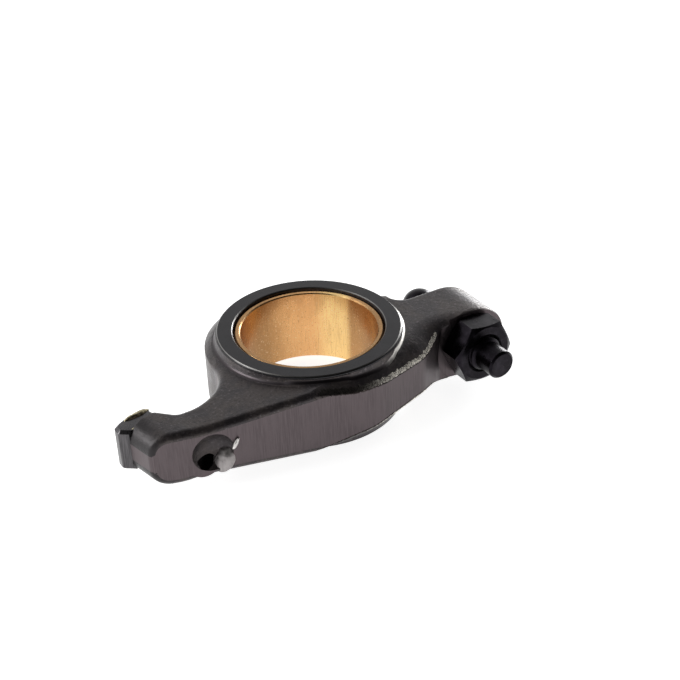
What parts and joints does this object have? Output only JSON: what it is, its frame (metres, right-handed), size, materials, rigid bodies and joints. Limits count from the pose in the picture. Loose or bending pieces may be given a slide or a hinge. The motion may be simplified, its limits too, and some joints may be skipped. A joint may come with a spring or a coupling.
{
  "type": "rocker arm",
  "caption": "Forged engine rocker arm with a bushed shaft bore, a curved valve pad at one end and a ball-ended adjusting screw with lock nut at the other.",
  "frame": {"origin": "on the shaft bore's axis, midway between the two hub faces", "axes": "+Z along the shaft bore, +X towards the adjusting screw, +Y towards the side that the valve pad and the screw's ball face"},
  "size_m": [0.1159, 0.0612, 0.023],
  "materials": {
    "forged_steel": "dark oiled phosphate on a forged skin, sheared side walls",
    "bronze": "bored bearing bronze with fine turning marks",
    "hardened_steel": "ground contact face, brazed seat",
    "black_steel": "black oxide, slightly glossy"
  },
  "bodies": {
    "arm": {"rocker_arm": "forged_steel", "bush": "bronze", "valve_pad": "hardened_steel"},
    "screw": {"adjusting_screw": "black_steel"},
    "nut": {"lock_nut": "black_steel"}
  },
  "joints": [
    {"name": "screw_travel", "type": "slide", "parent": "arm", "child": "screw", "axis": [0, 1, 0], "range_m": [-0.002, 0.005]},
    {"name": "nut_turn", "type": "hinge", "parent": "arm", "child": "nut", "pos_m": [0.0423, -0.0207, 0], "axis": [0, 1, 0], "continuous": true}
  ]
}
